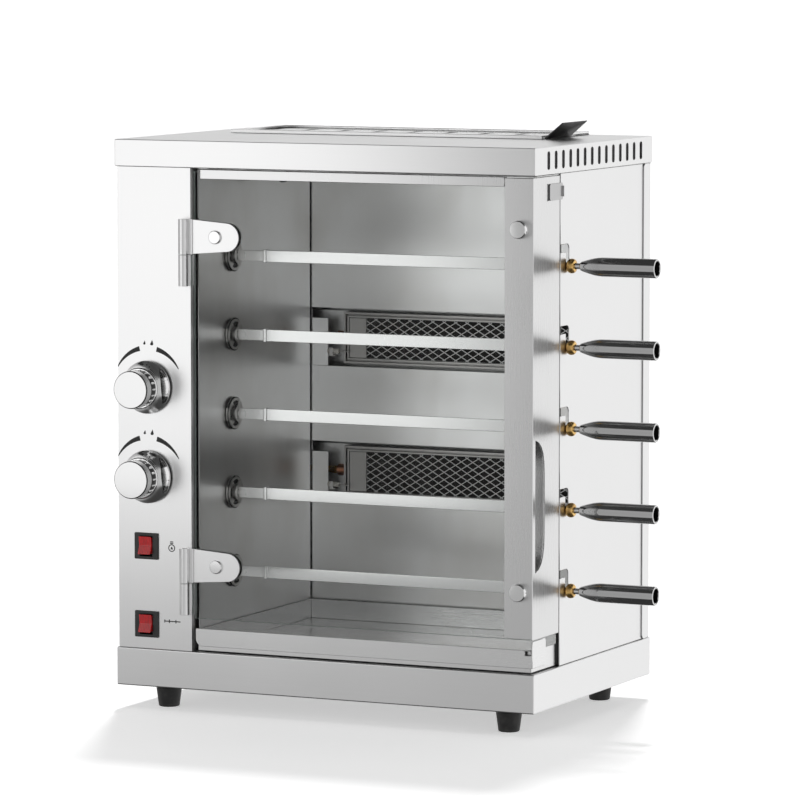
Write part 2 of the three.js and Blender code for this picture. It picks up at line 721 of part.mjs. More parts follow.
function doorTopRail() {
  const { glassFront, glassBack, high } = DOOR;
  const wall = 1.6;
  const [left, low, top] = [129.5, 691, 703.5];
  const [front, back] = [glassFront - GAP, glassBack + GAP];
  const outer = block([left, front - wall, low], [DOOR.stile - GAP, back + wall, top]);
  const channel = block([left - 10, front, low - 1], [DOOR.stile + 14, back, high + GAP]);
  return cut(outer, channel);
}
add("door_top_rail", doorTopRail(), steel);

function doorCatch() {
  const { right } = FACE;
  const [front, rear] = [51.5, 94];
  const outline = rectangle(front, LATCH.low, rear, LATCH.high, 3);
  const leaf = plate("x", outline, right + GAP, right + GAP + SHEET, 3);
  const lip = block([right + GAP, rear - 2.5, LATCH.low + 4], [right + 4, rear - 0.5, LATCH.high - 4]);
  return join(leaf, lip);
}
add("door_catch", doorCatch(), steel);

// A tapering clamp plate with a rounded tip, in the X-Z plane.
function clampOutline(low, high) {
  const left = PANEL_EDGE + 0.7;
  const middle = (low + high) / 2;
  const tipRadius = 19;
  const tipX = HINGE.x + HINGE.reach;
  const outline = new THREE.Shape();
  outline.moveTo(left, low + 0.5);
  outline.lineTo(tipX, middle - tipRadius);
  outline.absarc(tipX, middle, tipRadius, -Math.PI / 2, Math.PI / 2);
  outline.lineTo(left, high - 0.5);
  return outline;
}

// The half of a hinge that clamps the glass: a bored knuckle, and a plate on each side of the pane.
function doorHingeLeaf({ split, high }) {
  const { x, y, radius, bore } = HINGE;
  const low = split + 0.6;
  const bite = PANEL_EDGE + 0.7;
  const barrel = rod("z", radius, low, high, [x, y, 0], 16);
  const web = block([x, -1.2, low], [bite + 3, 1.2, high]);
  const frontPlate = plate("y", clampOutline(low, high), 0.8, DOOR.glassFront - GAP, 8);
  const backPlate = plate("y", clampOutline(low, high), DOOR.glassBack + GAP, 11, 8);
  const bridge = block([bite, 0.8, low], [DOOR.left - GAP, 11, high]);
  return cut(join(barrel, web, frontPlate, backPlate, bridge), rod("z", bore, low - 1, high + 1, [x, y, 0]));
}

// The fixed half: a knuckle with the pin standing in it, on a tab beside the control panel's fold.
function fixedHingeLeaf({ low, split, high }) {
  const { x, y, radius, pin } = HINGE;
  const tab = [PANEL_EDGE + 0.5, PANEL_EDGE + 2];
  const barrel = rod("z", radius, low, split, [x, y, 0], 16);
  const pinUp = rod("z", pin, split - 1, high - 1, [x, y, 0], 12);
  const web = block([x, -1.2, low], [tab[1], 1.2, split]);
  const leaf = block([tab[0], -1.2, low], [tab[1], 24, split]);
  return join(barrel, pinUp, web, leaf);
}

for (const [place, heights] of Object.entries(HINGES)) {
  add(`door_hinge_leaf_${place}`, doorHingeLeaf(heights), steel);
  add(`fixed_hinge_leaf_${place}`, fixedHingeLeaf(heights), steel);
}

// ---------------------------------------------------------------- drip tray

function dripTray() {
  const { left, right, front, rear, low, high, lipLow } = TRAY;
  const [lipFront, lipBack] = [FACE.front, FACE.front + SHEET];
  const outer = block([left, front, low], [right, rear, high - SHEET]);
  const inner = block([left + SHEET, front + SHEET, low + SHEET], [right - SHEET, rear - SHEET, high]);
  const pan = cut(outer, inner);
  const hem = block([left, lipFront, high - SHEET], [right, front + SHEET, high]);
  const lipOutline = new THREE.Shape();
  lipOutline.moveTo(left - 1, high);
  lipOutline.lineTo(left - 1, lipLow + 10);
  lipOutline.absarc(left + 9, lipLow + 10, 10, Math.PI, 1.5 * Math.PI);
  lipOutline.lineTo(FACE.right, lipLow);
  lipOutline.lineTo(FACE.right, high);
  const lip = plate("y", lipOutline, lipFront, lipBack);
  const wingOutline = rectangle(lipFront, lipLow, TRAY_WING.rear, TRAY_WING.high, 4);
  const wing = plate("x", wingOutline, FACE.right - SHEET, FACE.right);
  const corner = block([FACE.right - SHEET, lipFront, lipLow], [FACE.right, lipFront + 6, TRAY_WING.high]);
  const notch = block([606, 0, 77], [FACE.right - SHEET, lipBack + 1, high + 1]);
  return cut(join(pan, hem, lip, wing, corner), notch);
}
add("drip_tray", dripTray(), steel);

// ---------------------------------------------------------------- exhaust and damper

function exhaustFrame() {
  const { left, right, front, rear, top, rail } = FLUE;
  const base = CABINET.height + GAP;
  const ring = block([left, front, base], [right, rear, top]);
  const window = block([left + rail, front + rail, base - 1], [right - rail, rear - rail, top + 1]);
  const channel = block([left + 4, front + 4, base - 1], [right + 1, rear - 4, base + 2]);
  return cut(ring, window, channel);
}
add("exhaust_frame", exhaustFrame(), steel);

// The sliding plate: its holes stand over the cover's when it is pushed in, and its tab is bent up.
function damperPlate() {
  const { left, right, front, rear } = FLUE;
  const thick = 1.2;
  const base = CABINET.height + GAP;
  const sheetBody = block([left + 6, front + 5, base], [right + 2, rear - 5, base + thick]);
  const holes = range(FLUE_HOLES.count).map((k) => flueHole(k, FLUE_HOLES.half, base - 1, base + 3));
  const { run, rise } = DAMPER_TAB;
  const bend = right + 1;
  const section = [
    [bend, base],
    [bend + 2, base],
    [bend + run, base + rise],
    [bend + run - 1.6, base + rise + 0.6],
    [bend, base + thick],
  ];
  const tab = plate("y", polygon(section), DAMPER_TAB.front, DAMPER_TAB.rear);
  return join(cut(sheetBody, holes), tab);
}
add("damper_plate", damperPlate(), darkSteel);

// ---------------------------------------------------------------- origin

oven.position.set(-HANDLE.end / 2, -(KNOB.front + GAS_INLET.end) / 2, FOOT.height);

export default oven;
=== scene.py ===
import math

import bmesh
import bpy
from mathutils import Euler, Matrix, Vector


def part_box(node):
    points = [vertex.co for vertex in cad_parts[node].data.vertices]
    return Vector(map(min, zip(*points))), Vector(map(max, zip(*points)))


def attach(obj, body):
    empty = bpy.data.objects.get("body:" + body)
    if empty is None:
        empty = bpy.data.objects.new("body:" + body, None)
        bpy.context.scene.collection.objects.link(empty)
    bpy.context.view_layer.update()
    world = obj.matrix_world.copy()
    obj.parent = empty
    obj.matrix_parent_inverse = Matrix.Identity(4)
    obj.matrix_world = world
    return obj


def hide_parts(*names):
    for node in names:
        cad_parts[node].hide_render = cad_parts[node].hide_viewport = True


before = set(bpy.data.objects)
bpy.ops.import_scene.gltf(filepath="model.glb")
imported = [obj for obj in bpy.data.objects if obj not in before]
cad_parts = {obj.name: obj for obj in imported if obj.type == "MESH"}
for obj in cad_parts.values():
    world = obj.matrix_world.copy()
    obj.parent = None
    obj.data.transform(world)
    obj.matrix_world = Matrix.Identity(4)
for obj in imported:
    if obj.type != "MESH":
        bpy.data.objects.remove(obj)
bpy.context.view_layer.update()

# The looks of a table-top gas rotisserie oven with five geared spits.
#
# Shapes are made in millimetres from the cabinet's front left bottom corner, with +X to the right, +Y to
# the back and +Z up. piece() moves a finished shape into the frame, in metres.

scene = bpy.context.scene
scene.view_settings.view_transform = "Standard"

MM = 0.001
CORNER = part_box("base_pan")[0]
TO_FRAME = Matrix.Translation(CORNER) @ Matrix.Scale(MM, 4)
FROM_FRAME = TO_FRAME.inverted()
AXES = {"x": Vector((1, 0, 0)), "y": Vector((0, 1, 0)), "z": Vector((0, 0, 1))}


def corners(node):
    """A CAD node's lowest and highest corners, in millimetres from the cabinet's corner."""
    return [FROM_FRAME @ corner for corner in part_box(node)]


def middle(node):
    low, high = corners(node)
    return (low + high) / 2


# ---------------------------------------------------------------- shader maths


class Signal:
    """One socket of a shader. Arithmetic on it adds the Math nodes that work it out."""

    def __init__(self, tree, socket):
        self.tree = tree
        self.socket = socket

    def math(self, operation, *values):
        return add_node(self.tree, "Math", {"operation": operation}, dict(enumerate(values)))

    def __add__(self, other):
        return self.math("ADD", self, other)

    def __sub__(self, other):
        return self.math("SUBTRACT", self, other)

    def __mul__(self, other):
        return self.math("MULTIPLY", self, other)

    def __rsub__(self, other):
        return self.math("SUBTRACT", other, self)

    __radd__ = __add__
    __rmul__ = __mul__

    def __abs__(self):
        return self.math("ABSOLUTE", self)

    def rise(self, start, end):
        """0 before start, 1 after end, with a smooth step between them."""
        settings = {"interpolation_type": "SMOOTHSTEP"}
        return add_node(self.tree, "MapRange", settings, {0: self, 1: start, 2: end, 3: 0.0, 4: 1.0})


def add_node(tree, kind, settings=None, inputs=None, output=0):
    """A shader node with its settings, then its sockets' values or links. Returns one of its outputs."""
    node = tree.nodes.new("ShaderNode" + kind)
    for name, value in (settings or {}).items():
        setattr(node, name, value)
    for key, value in (inputs or {}).items():
        if isinstance(value, Signal):
            tree.links.new(value.socket, node.inputs[key])
        else:
            node.inputs[key].default_value = value
    return Signal(tree, node.outputs[output])


class Finish:
    """A surface finish: a material, its surface shader and the patterns that feed it."""

    def __init__(self, name, **constants):
        self.material = bpy.data.materials.new(name)
        self.material.use_nodes = True
        self.tree = self.material.node_tree
        self.surface = self.tree.nodes["Principled BSDF"]
        for key, value in constants.items():
            self.set(key.replace("_", " "), value)

    def set(self, key, value):
        socket = self.surface.inputs[key]
        if isinstance(value, Signal):
            self.tree.links.new(value.socket, socket)
        else:
            socket.default_value = value

    def node(self, kind, settings=None, inputs=None, output=0):
        return add_node(self.tree, kind, settings, inputs, output)

    def place(self):
        return self.node("TexCoord", output="Object")

    def noise(self, scale, detail=3.0, stretch=(1.0, 1.0, 1.0), roughness=0.55):
        where = self.node("Mapping", {"vector_type": "POINT"}, {"Vector": self.place(), "Scale": stretch})
        inputs = {"Vector": where, "Scale": scale, "Detail": detail, "Roughness": roughness}
        return self.node("TexNoise", inputs=inputs)

    def blend(self, factor, first, second):
        """A colour between two others, each four numbers or another colour."""
        settings = {"data_type": "RGBA", "clamp_factor": True}
        return self.node("Mix", settings, {0: factor, 6: first, 7: second}, output=2)

    def bump(self, height, depth, strength=1.0):
        inputs = {"Height": height, "Distance": depth, "Strength": strength}
        self.set("Normal", self.node("Bump", inputs=inputs))


def grey(value, warmth=0.0):
    return (value * (1 + warmth), value, value * (1 - warmth), 1.0)


# ---------------------------------------------------------------- finishes

UPRIGHT = (1.0, 1.0, 0.008)
LEVEL = (0.008, 0.008, 1.0)
LENGTHWAYS = (0.008, 1.0, 1.0)


def brushed_steel(name, tone, roughness, stretch, warmth=0.0):
    """Stainless sheet: fine brushing along one direction, and slow clouds of handling."""
    finish = Finish(name, Metallic=1.0)
    brushing = finish.noise(1100.0, 2.0, stretch)
    clouds = finish.noise(5.0, 3.0)
    light = grey(tone * 1.04, warmth)
    dark = grey(tone * 0.95, warmth)
    finish.set("Base Color", finish.blend(brushing * 0.3 + clouds * 0.7, dark, light))
    finish.set("Roughness", roughness - 0.05 + brushing * 0.04 + clouds * 0.06)
    finish.bump(brushing, 0.000003, 0.1)
    return finish.material


def liner_steel():
    """The cooking space's lining: duller, with faint heat tint and grease haze."""
    finish = Finish("liner_steel", Metallic=1.0)
    brushing = finish.noise(900.0, 2.0, UPRIGHT)
    haze = finish.noise(7.0, 4.0, (1.0, 1.0, 0.6))
    clean = grey(0.9)
    tinted = (0.8, 0.79, 0.775, 1.0)
    finish.set("Base Color", finish.blend(haze.rise(0.42, 0.75), clean, tinted))
    finish.set("Roughness", 0.22 + brushing * 0.05 + haze * 0.12)
    finish.bump(brushing, 0.000005, 0.15)
    return finish.material


def chrome(name, tone, roughness):
    """Bright plating with faint wipe marks."""
    finish = Finish(name, Metallic=1.0)
    wipes = finish.noise(60.0, 3.0, (0.15, 1.0, 1.0))
    finish.set("Base Color", finish.blend(wipes, grey(tone * 0.96), grey(tone * 1.02)))
    finish.set("Roughness", roughness + wipes * 0.05)
    return finish.material


def turned_brass():
    """Turned brass, browner where it is tarnished."""
    finish = Finish("turned_brass", Metallic=1.0)
    turning = finish.noise(1500.0, 1.0, (1.0, 0.02, 0.02))
    tarnish = finish.noise(120.0, 3.0).rise(0.4, 0.7)
    finish.set("Base Color", finish.blend(tarnish, (0.86, 0.56, 0.2, 1.0), (0.5, 0.29, 0.1, 1.0)))
    finish.set("Roughness", 0.2 + turning * 0.1 + tarnish * 0.15)
    finish.bump(turning, 0.00003, 0.4)
    return finish.material


def machine_steel(name, tone, warmth=0.0):
    """Plain or plated steel of the drive and brackets, with a mottled surface."""
    finish = Finish(name, Metallic=1.0)
    mottle = finish.noise(90.0, 4.0)
    finish.set("Base Color", finish.blend(mottle, grey(tone * 0.7, warmth), grey(tone * 1.2, warmth)))
    finish.set("Roughness", 0.3 + mottle * 0.25)
    finish.bump(mottle, 0.0001, 0.2)
    return finish.material


def cast_aluminium():
    finish = Finish("cast_aluminium", Metallic=0.9)
    grain = finish.noise(700.0, 2.0)
    finish.set("Base Color", finish.blend(grain, grey(0.3), grey(0.45)))
    finish.set("Roughness", 0.5 + grain * 0.2)
    finish.bump(grain, 0.0002, 0.5)
    return finish.material


def black_plastic(name="black_plastic", tone=0.012):
    """Moulded plastic with a fine spark-eroded grain."""
    finish = Finish(name, Metallic=0.0)
    grain = finish.noise(1800.0, 2.0)
    wear = finish.noise(40.0, 3.0)
    finish.set("Base Color", finish.blend(wear, grey(tone * 0.8), grey(tone * 1.6)))
    finish.set("Roughness", 0.3 + wear * 0.15 + grain * 0.05)
    finish.bump(grain, 0.00008, 0.35)
    return finish.material


def foot_rubber():
    """Black rubber with a dusty bloom."""
    finish = Finish("foot_rubber", Metallic=0.0)
    bloom = finish.noise(70.0, 4.0)
    grain = finish.noise(1400.0, 1.0)
    finish.set("Base Color", finish.blend(bloom.rise(0.35, 0.8), grey(0.01), grey(0.035, 0.05)))
    finish.set("Roughness", 0.45 + bloom * 0.25)
    finish.bump(grain, 0.0001, 0.4)
    return finish.material


def red_lens():
    """A clear red rocker over a ribbed reflector."""
    finish = Finish("red_lens", Metallic=0.0, Roughness=0.22, Coat_Weight=0.25, Coat_Roughness=0.05)
    waves = {"wave_type": "BANDS", "bands_direction": "X"}
    ribs = finish.node("TexWave", waves, {"Vector": finish.place(), "Scale": 130.0})
    cloud = finish.noise(120.0, 2.0)
    dark = (0.16, 0.0, 0.001, 1.0)
    bright = (0.55, 0.0, 0.004, 1.0)
    finish.set("Base Color", finish.blend(ribs * 0.55 + cloud * 0.5, dark, bright))
    return finish.material


def burner_tile():
    """Perforated ceramic tile, dark and sooty when the burner is off."""
    finish = Finish("burner_tile", Metallic=0.0)
    cells = finish.node("TexVoronoi", {"feature": "F1"}, {"Vector": finish.place(), "Scale": 520.0})
    soot = finish.noise(25.0, 3.0)
    dirt = cells.rise(0.2, 0.5) * 0.7 + soot * 0.3
    finish.set("Base Color", finish.blend(dirt, grey(0.004), grey(0.03, 0.06)))
    finish.set("Roughness", 0.75 + soot * 0.15)
    finish.bump(cells, 0.0006, 0.6)
    return finish.material


def white_ceramic():
    finish = Finish("white_ceramic", Metallic=0.0, Coat_Weight=0.4)
    stain = finish.noise(160.0, 3.0)
    finish.set("Base Color", finish.blend(stain, (0.85, 0.83, 0.78, 1.0), (0.72, 0.69, 0.62, 1.0)))
    finish.set("Roughness", 0.35 + stain * 0.15)
    return finish.material


def copper_pipe():
    finish = Finish("copper_pipe", Metallic=1.0)
    tarnish = finish.noise(60.0, 4.0)
    finish.set("Base Color", finish.blend(tarnish, (0.8, 0.36, 0.2, 1.0), (0.38, 0.16, 0.09, 1.0)))
    finish.set("Roughness", 0.25 + tarnish * 0.2)
    return finish.material


def printed_ink():
    """Screen-printed marks, a little broken at the edges."""
    finish = Finish("printed_ink", Metallic=0.0)
    speckle = finish.noise(900.0, 2.0)
    finish.set("Base Color", finish.blend(speckle.rise(0.4, 0.8), grey(0.006), grey(0.03)))
    finish.set("Roughness", 0.45 + speckle * 0.2)
    return finish.material


def clear_glass(name, tint, mirror=0.9, haze=0.02):
    """Glass that is seen through, with a gloss that grows towards grazing angles."""
    finish = Finish(name, Metallic=0.0, Specular_IOR_Level=0.5)
    wipes = finish.noise(9.0, 3.0, (1.0, 1.0, 0.3))
    finish.set("Base Color", finish.blend(wipes, tint, grey(0.04)))
    finish.set("Roughness", 0.02 + wipes.rise(0.5, 0.8) * 0.04)
    clear = finish.node("BsdfTransparent", inputs={0: (0.975, 0.98, 0.977, 1.0)})
    glance = finish.node("Fresnel", inputs={"IOR": 1.45})
    shell = Signal(finish.tree, finish.surface.outputs[0])
    seen = finish.node("MixShader", inputs={0: glance * mirror + haze * wipes, 1: clear, 2: shell})
    finish.tree.links.new(seen.socket, finish.tree.nodes["Material Output"].inputs["Surface"])
    return finish.material


def glass_edge():
    """The ground edge of the pane, greener and duller than its faces."""
    finish = Finish("glass_edge", Metallic=0.0, Coat_Weight=0.6)
    grinding = finish.noise(500.0, 2.0, LEVEL)
    finish.set("Base Color", finish.blend(grinding, (0.5, 0.62, 0.58, 1.0), (0.78, 0.86, 0.83, 1.0)))
    finish.set("Roughness", 0.25 + grinding * 0.2)
    return finish.material


def pale_floor():
    finish = Finish("pale_floor", Metallic=0.0)
    cloud = finish.noise(1.5, 2.0)
    finish.set("Base Color", finish.blend(cloud, grey(0.93), grey(0.96)))
    finish.set("Roughness", 0.85 + cloud * 0.1)
    finish.set("Emission Color", grey(1.0))
    finish.set("Emission Strength", 0.45)
    return finish.material


FINISH = {
    "panel_upright": brushed_steel("panel_upright", 0.8, 0.3, UPRIGHT),
    "panel_level": brushed_steel("panel_level", 0.8, 0.3, LEVEL),
    # a darker copy of the panel steel for the door's stile, top rail and pull: painted shade
    "stile_steel": brushed_steel("stile_steel", 0.72, 0.28, UPRIGHT),
    "tray_steel": brushed_steel("tray_steel", 0.78, 0.26, LEVEL),
    "liner_steel": liner_steel(),
    "burner_steel": brushed_steel("burner_steel", 0.5, 0.34, LEVEL, 0.02),
    "spit_steel": brushed_steel("spit_steel", 0.88, 0.22, LENGTHWAYS),
    "bright_chrome": chrome("bright_chrome", 0.86, 0.0),
    # a darker copy of the chrome for the spit handles: painted shade standing for their dark reflections
    "shaded_handle_chrome": chrome("shaded_handle_chrome", 0.62, 0.07),
    "bolt_steel": brushed_steel("bolt_steel", 0.8, 0.2, LEVEL),
    "satin_cap": brushed_steel("satin_cap", 0.7, 0.2, LEVEL),
    # a darker copy of the steel for the door's catch plate: painted shade
    "catch_steel": brushed_steel("catch_steel", 0.5, 0.3, UPRIGHT),
    "mesh_steel": brushed_steel("mesh_steel", 0.75, 0.4, LEVEL),
    # near-black steel for the damper's tab: painted shade
    "tab_shade_steel": machine_steel("tab_shade_steel", 0.09),
    "machine_steel": machine_steel("machine_steel", 0.3),
    "zinc_steel": machine_steel("zinc_steel", 0.75, 0.02),
    # a pale copy of the machine steel for the burners' flanges: painted light that lifts them out of the
    # recess's shade
    "lit_flange_steel": machine_steel("lit_flange_steel", 0.85),
    "cast_aluminium": cast_aluminium(),
    "turned_brass": turned_brass(),
    "copper_pipe": copper_pipe(),
    "black_plastic": black_plastic(),
    # near-black for recesses, gaps and openings: painted shade
    "black_recess": black_plastic("black_recess", 0.003),
    "foot_rubber": foot_rubber(),
    "red_lens": red_lens(),
    "burner_tile": burner_tile(),
    "white_ceramic": white_ceramic(),
    "printed_ink": printed_ink(),
    "clear_glass": clear_glass("clear_glass", grey(0.02)),
    "lamp_glass": clear_glass("lamp_glass", grey(0.9), 1.0, 0.25),
    "glass_edge": glass_edge(),
    "pale_floor": pale_floor(),
}

# ---------------------------------------------------------------- shapes


def box(low, high):
    """A block between two corners."""
    shape = bmesh.new()
    bmesh.ops.create_cube(shape, size=1.0)
    low, high = Vector(low), Vector(high)
    bmesh.ops.scale(shape, vec=high - low, verts=shape.verts)
    bmesh.ops.translate(shape, vec=(low + high) / 2, verts=shape.verts)
    return shape


def stand(axis, first, second, along):
    """A point given in the two other axes, at a place along the named axis."""
    return {"x": (along, first, second), "y": (first, along, second), "z": (first, second, along)}[axis]


def slab(axis, outline, start, end):
    """An outline in the two other axes, filled and drawn out along the named axis."""
    shape = bmesh.new()
    face = shape.faces.new([shape.verts.new(stand(axis, a, b, start)) for a, b in outline])
    grown = bmesh.ops.extrude_face_region(shape, geom=[face])["geom"]
    moved = [part for part in grown if isinstance(part, bmesh.types.BMVert)]
    bmesh.ops.translate(shape, vec=AXES[axis] * (end - start), verts=moved)
    bmesh.ops.recalc_face_normals(shape, faces=shape.faces)
    return shape


def lathe(axis, profile, centre, steps=48):
    """A profile of [radius, place along the axis] pairs, spun about an axis through a centre."""
    shape = bmesh.new()
    across = {"x": "y", "y": "x", "z": "x"}[axis]
    points = [shape.verts.new(AXES[across] * radius + AXES[axis] * along) for radius, along in profile]
    lines = [shape.edges.new(pair) for pair in zip(points, points[1:])]
    turn = {"cent": (0, 0, 0), "axis": AXES[axis], "angle": 2 * math.pi, "steps": steps, "use_merge": True}
    bmesh.ops.spin(shape, geom=points + lines, **turn)
    bmesh.ops.remove_doubles(shape, verts=shape.verts, dist=0.001)
    bmesh.ops.recalc_face_normals(shape, faces=shape.faces)
    bmesh.ops.translate(shape, vec=centre, verts=shape.verts)
    return shape


def rod(axis, radius, start, end, centre, steps=24, edge=0.0):
    """A round bar, with its ends chamfered."""
    inner = radius - edge
    first = [[0, start], [inner, start], [radius, start + edge]]
    last = [[radius, end - edge], [inner, end], [0, end]]
    return lathe(axis, first + last, centre, steps)


def arc(centre, radius, first, last, steps=8):
    """Points on a round stretch, from one angle to another in degrees."""
    turns = [math.radians(first + (last - first) * k / steps) for k in range(steps + 1)]
    return [(centre[0] + radius * math.cos(t), centre[1] + radius * math.sin(t)) for t in turns]


def rounded(shape, width, segments=2, keep=None):
    """Rounds the edges where two faces meet at more than a shallow angle."""
    shallow = math.radians(30)
    edges = [e for e in shape.edges if len(e.link_faces) == 2 and e.calc_face_angle(0) > shallow]
    edges = [e for e in edges if keep is None or keep(e)]
    settings = {"affect": "EDGES", "offset_type": "OFFSET", "profile": 0.5, "material": -1}
    bmesh.ops.bevel(shape, geom=edges, offset=width, segments=segments, clamp_overlap=True, **settings)
    return shape


def painted(shape, index):
    for face in shape.faces:
        face.material_index = index
    return shape


def gather(*shapes):
    """Several shapes as one."""
    whole = bmesh.new()
    for shape in shapes:
        mesh = bpy.data.meshes.new("part")
        shape.to_mesh(mesh)
        shape.free()
        whole.from_mesh(mesh)
        bpy.data.meshes.remove(mesh)
    return whole


def copy_of(node):
    """A CAD node's shape with its loose triangles merged into whole faces, in millimetres."""
    shape = bmesh.new()
    shape.from_mesh(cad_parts[node].data)
    shape.transform(FROM_FRAME)
    bmesh.ops.remove_doubles(shape, verts=shape.verts, dist=0.01)
    flat = math.radians(1)
    bmesh.ops.dissolve_limit(shape, angle_limit=flat, verts=shape.verts, edges=shape.edges)
    return shape


def outer_edges(shape):
    """Says which edges lie along the edges of the shape's own bounding box."""
    points = [vertex.co.copy() for vertex in shape.verts]
    lows = [min(p[k] for p in points) for k in range(3)]
    highs = [max(p[k] for p in points) for k in range(3)]

    def planes(vertex):
        near = 0.01
        low = {(k, 0) for k in range(3) if abs(vertex.co[k] - lows[k]) < near}
        return low | {(k, 1) for k in range(3) if abs(vertex.co[k] - highs[k]) < near}

    return lambda edge: len(planes(edge.verts[0]) & planes(edge.verts[1])) >= 2


def piece(name, shape, finishes, body, replaces=(), slot=None, crisp=True):
    """Makes an object of a shape in millimetres, and puts it on the body that it moves with."""
    shape.transform(TO_FRAME)
    mesh = bpy.data.meshes.new(name)
    shape.to_mesh(mesh)
    shape.free()
    if "custom_normal" in mesh.attributes:
        mesh.attributes.remove(mesh.attributes["custom_normal"])
    for finish in [finishes] if isinstance(finishes, str) else finishes:
        mesh.materials.append(FINISH[finish])
    mesh.shade_smooth()
    mesh.set_sharp_from_angle(angle=math.radians(38))
    made = bpy.data.objects.new(name, mesh)
    scene.collection.objects.link(made)
    if crisp:
        made.modifiers.new("crisp_faces", "WEIGHTED_NORMAL").keep_sharp = True
    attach(made, body)
    for node in [replaces] if isinstance(replaces, str) else replaces:
        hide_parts(node)
    return made


# ---------------------------------------------------------------- folded sheet parts

SHEET = 1.5  # thickness of the panels
EDGE = 0.45  # rounding of a cut sheet edge
FOLD = 1.8  # outside radius of a folded corner

# node: finish, body, radius of its folded corners
SHEETS = {
    "base_pan": ("panel_level", "cabinet", FOLD),
    "top_cover": ("panel_level", "cabinet", FOLD),
    "left_side_panel": ("panel_upright", "cabinet", 0),
    "control_panel": ("panel_upright", "cabinet", 0),
    "right_side_panel": ("panel_upright", "cabinet", 0),
    "rear_cover": ("panel_upright", "cabinet", 0),
    "cavity_ceiling": ("liner_steel", "cabinet", 0),
    "left_inner_wall": ("liner_steel", "cabinet", 0),
    "rear_inner_wall": ("liner_steel", "cabinet", 0),
    "door_stile": ("stile_steel", "door", 1.2),
    "door_top_rail": ("stile_steel", "door", 0),
    "door_catch": ("catch_steel", "door", 0),
    "door_pull_cup": ("stile_steel", "door", 0),
    "door_hinge_leaf_upper": ("panel_upright", "door", 0),
    "door_hinge_leaf_lower": ("panel_upright", "door", 0),
    "fixed_hinge_leaf_upper": ("panel_upright", "cabinet", 0),
    "fixed_hinge_leaf_lower": ("panel_upright", "cabinet", 0),
    "drip_tray": ("tray_steel", "tray", 0),
    "exhaust_frame": ("bolt_steel", "cabinet", 0),
    "drive_plate": ("zinc_steel", "cabinet", 0),
}


def folded_sheets():
    for node, (finish, body, fold) in SHEETS.items():
        shape = copy_of(node)
        if fold:
            rounded(shape, fold, 3, outer_edges(shape))
        rounded(shape, EDGE, 1)
        piece(node + "_sheet", shape, finish, body, node, "panel_steel", crisp=bool(fold))


def damper():
    """The sliding plate, with its bent tab painted near-black as painted shade."""
    shape = copy_of("damper_plate")
    bend = corners("exhaust_frame")[1].x + 1.2
    # the tab's faces take the near-black steel: painted shade
    for face in shape.faces:
        face.material_index = 1 if face.calc_center_median().x > bend else 0
    finishes = ["bolt_steel", "tab_shade_steel"]
    settings = {"replaces": "damper_plate", "slot": "burner_steel", "crisp": False}
    piece("damper_slide_plate", rounded(shape, EDGE, 1), finishes, "damper", **settings)


def vent_shade_strips():
    """Black strips behind the cover's vents: painted shade that keeps the openings dark."""
    low, high = corners("top_cover")
    for side, x in (("left", low.x + 7), ("right", high.x - 8)):
        strip = box((x, low.y + 32, low.z + 2), (x + 1, high.y - 24, high.z - 2.5))
        piece(f"vent_shade_strip_{side}", strip, "black_recess", "cabinet", (), "black_plastic")


def seam_shade_strip():
    """A black strip behind the seam between the door's folded side and the right side panel: painted shade
    for the dark gap there.
    """
    low, high = corners("right_side_panel")
    inside = high.x - SHEET
    strip = box((inside - 3, low.y - 1.4, low.z + 1), (inside - 0.3, low.y + 7, high.z - 1))
    piece("seam_shade_strip", strip, "black_recess", "cabinet", (), "black_plastic")


def rear_screws():
    """Cross-headed screws down both sides of the rear cover."""
    low, high = corners("rear_cover")
    face = high.y
    inset, first, count = 13, low.z + 30, 5
    pitch = (high.z - 30 - first) / (count - 1)
    head = [[0, face + 2.4], [3.0, face + 2.2], [4.2, face + 1.1], [4.2, face], [0, face]]
    long, short = 1.8, 0.4
    heads = []
    for x in (low.x + inset, high.x - inset):
        for n in range(count):
            z = first + n * pitch
            heads.append(lathe("y", head, (x, 0, z), 20))
            # each cross is a thin black mark on the head: painted shade for the recess
            for half_x, half_z in ((long, short), (short, long)):
                near = (x - half_x, face + 2.0, z - half_z)
                far = (x + half_x, face + 2.46, z + half_z)
                heads.append(painted(box(near, far), 1))
    piece("rear_screws", gather(*heads), ["zinc_steel", "black_recess"], "cabinet", (), "machine_steel")


folded_sheets()
damper()
rear_screws()
vent_shade_strips()
seam_shade_strip()

# ---------------------------------------------------------------- carried-over nodes

CARRIED = {
    "gear_motor": "cast_aluminium",
    "gas_valve_upper": "turned_brass",
    "gas_valve_lower": "turned_brass",
    "gas_manifold": "turned_brass",
    "mains_gland": "black_plastic",
    "motor_pinion": "machine_steel",
    "valve_stem_upper": "machine_steel",
    "valve_stem_lower": "machine_steel",
    **{f"drive_gear_{k}": "zinc_steel" for k in range(1, 6)},
}
for node, finish in CARRIED.items():
    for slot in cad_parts[node].material_slots:
        slot.material = FINISH[finish]

# ---------------------------------------------------------------- spits, bushes and drive cups


HANDLE = {"start": 636, "radius": 12.8, "bore": 9.5, "depth": 50, "swell": 30, "throat": 6.6}


